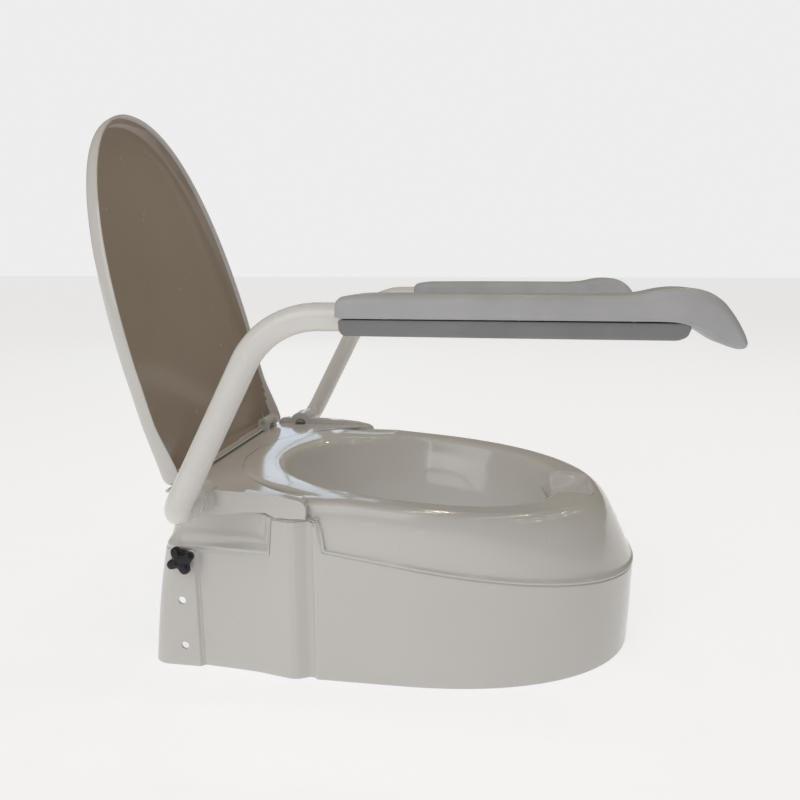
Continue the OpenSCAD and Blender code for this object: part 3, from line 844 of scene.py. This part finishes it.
# depth from the shell's side, then a plain radius (the hub) or an inset from the star
HUB = [(0, 8.0), (3.6, 8.0)]
STAR = [(4.0, 2.2), (4.6, 0.9), (5.6, 0.1), (7.0, 0), (9.6, 0), (11.6, 0.6), (12.8, 1.9), (13.3, 3.4),
        (13.6, 5.2)]
DIMPLE = [(KNOB_T - 0.1, 4.4), (KNOB_T - 0.9, 3.7), (KNOB_T - 1.1, 1.0)]


def build_knob(name, side, y, h):
    angles = [2 * math.pi * k / KNOB_SIDES for k in range(KNOB_SIDES)]
    turned = [a + KNOB_TURN for a in angles]

    def ring(depth, radii):
        return [at(side * (KNOB_FACE + depth), y - r * math.sin(a), h + r * math.cos(a))
                for a, r in zip(turned, radii)]

    scale = KNOB_T / KNOB_DEPTH
    rows = [ring(d * scale, [r] * KNOB_SIDES) for d, r in HUB]
    rows += [ring(d * scale, [star_radius(a) - inset for a in angles]) for d, inset in STAR]
    rows += [ring(d, [r] * KNOB_SIDES) for d, r in DIMPLE]
    return make(name, *loft(rows, cap_start=True, cap_end=True), BLACK, 50)


for side, name in ((1, "left"), (-1, "right")):
    x, y, h = joint_at(name + "_knob_turn")
    grip = build_knob(name + "_grip", side, y, h)
    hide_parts(name + "_knob")
    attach(grip, name + "_knob")


# ---------------------------------------------------------------- CAD nodes that stay

EDGE = {"arm_carrier": 1.6, "mount_bracket": 0.6, "carrier_screws": 0.4, "left_pivot_bush": 0.5,
        "right_pivot_bush": 0.5, "fixing_bolts": 0.3, "bracket_pads": 0.5, "lid_hinge_pins": 0.5}
for part in frame["record"]["subparts"]:
    node = frame["nodes"][part["node"]]
    node.data.materials.clear()
    node.data.materials.append(SLOT_MATERIALS[part["material_slot"]])
    if part["node"] in EDGE:
        round_edges(node, EDGE[part["node"]])


# ---------------------------------------------------------------- floor, light and camera

FLOOR_GLOW = 0.71


def plain(name, color, roughness):
    """The floor's pale matt finish, with a glow of its own that keeps it near white."""
    mat, tree, shader = new_material(name, color, roughness)
    shader.inputs["Emission Color"].default_value = (1, 1, 1, 1)
    shader.inputs["Emission Strength"].default_value = FLOOR_GLOW
    bump(tree, shader, noise(tree, 40.0, 2.0), 0.02, 0.001)
    return mat


FLOOR_HALF = 30
corners = [(x * FLOOR_HALF, y * FLOOR_HALF, FOOT) for x, y in ((-1, -1), (1, -1), (1, 1), (-1, 1))]
floor = make("floor", corners, [(0, 1, 2, 3)], plain("floor_white", (0.30, 0.30, 0.30), 0.7))

world = bpy.data.worlds.new("studio")
bpy.context.scene.world = world
world.use_nodes = True
tree = world.node_tree
background = tree.nodes["Background"]
background.inputs["Strength"].default_value = 1.0
# Its reflections show a room that is lighter behind the seat and dim in front of it
coord = tree.nodes.new("ShaderNodeTexCoord")
split = tree.nodes.new("ShaderNodeSeparateXYZ")
tree.links.new(coord.outputs["Generated"], split.inputs["Vector"])
spread = tree.nodes.new("ShaderNodeMapRange")
spread.inputs["From Min"].default_value = -0.80
spread.inputs["From Max"].default_value = 0.45
tree.links.new(split.outputs["Y"], spread.inputs["Value"])
room = ramp(tree, spread.outputs["Result"], (0.08, 0.066, 0.050), (0.31, 0.285, 0.255))
path_info = tree.nodes.new("ShaderNodeLightPath")
seen = blend_colors(tree, path_info.outputs["Is Camera Ray"], room, (0.85, 0.85, 0.85))
tree.links.new(seen, background.inputs["Color"])


def area_light(name, place, aim, size, power, color=(1, 1, 1), diffuse=1.0, gloss=1.0):
    """A rectangular light that the camera doesn't see. diffuse below 1 leaves mostly its reflection,
    and gloss below 1 dims its reflection."""
    data = bpy.data.lights.new(name, "AREA")
    data.shape = "RECTANGLE"
    data.size, data.size_y = size
    data.energy = power
    data.color = color
    data.diffuse_factor = diffuse
    data.specular_factor = gloss
    obj = bpy.data.objects.new(name, data)
    bpy.context.scene.collection.objects.link(obj)
    obj.location = place
    obj.rotation_euler = (Vector(aim) - Vector(place)).to_track_quat("-Z", "Y").to_euler()
    obj.visible_camera = False
    return obj


area_light("overhead", (-1.7, 0.5, 2.3), (0, -0.15, 0), (2.0, 1.6), 9, (1.0, 0.995, 0.98), gloss=0.5)
area_light("camera_side", (-2.5, 0.9, 1.5), (0, -0.1, 0.1), (2.4, 1.8), 19, (0.97, 0.985, 1.0), gloss=0.25)
# Panes of a window, seen mostly as reflections on the deck and the ring: y, z, width, height
PANES = [(1.40, 1.00, 0.36, 0.90), (1.00, 1.02, 0.36, 0.80), (0.66, 1.00, 0.24, 0.90),
         (0.36, 1.14, 0.20, 0.16)]
PANE_X = 3.2
PANE_GLOW = 4.4
for i, (y, z, width, height) in enumerate(PANES):
    power = PANE_GLOW * width * height
    area_light("pane_%d" % i, (PANE_X, y, z), (0, 0.3 * (y - 1), 0.1), (width, height), power,
               (0.66, 0.82, 1.0), 0.25)
# Ceiling lamps, seen as small warm glints on the glossy plastic
LAMP_H = 2.6
LAMPS = [(x, y) for x in (-1.4, -0.5, 0.5, 1.5, 2.5) for y in (-3.2, -2.2, -1.2, -0.3)]
for i, (x, y) in enumerate(LAMPS):
    area_light("lamp_%d" % i, (x, y, LAMP_H), (x * 0.6, y * 0.6, 0), (0.15, 0.045), 1.5,
               (1.0, 0.93, 0.80), 0.15)

camera_data = bpy.data.cameras.new("camera")
camera = bpy.data.objects.new("camera", camera_data)
bpy.context.scene.collection.objects.link(camera)
camera_data.lens = 33.75
camera_data.sensor_width = 36
camera_data.clip_start = 0.01
camera.location = (-0.890, -0.305, 0.316)
camera.rotation_euler = Vector((0.9737, 0.1455, -0.1754)).to_track_quat("-Z", "Y").to_euler()
bpy.context.scene.camera = camera
bpy.context.scene.view_settings.view_transform = "Standard"
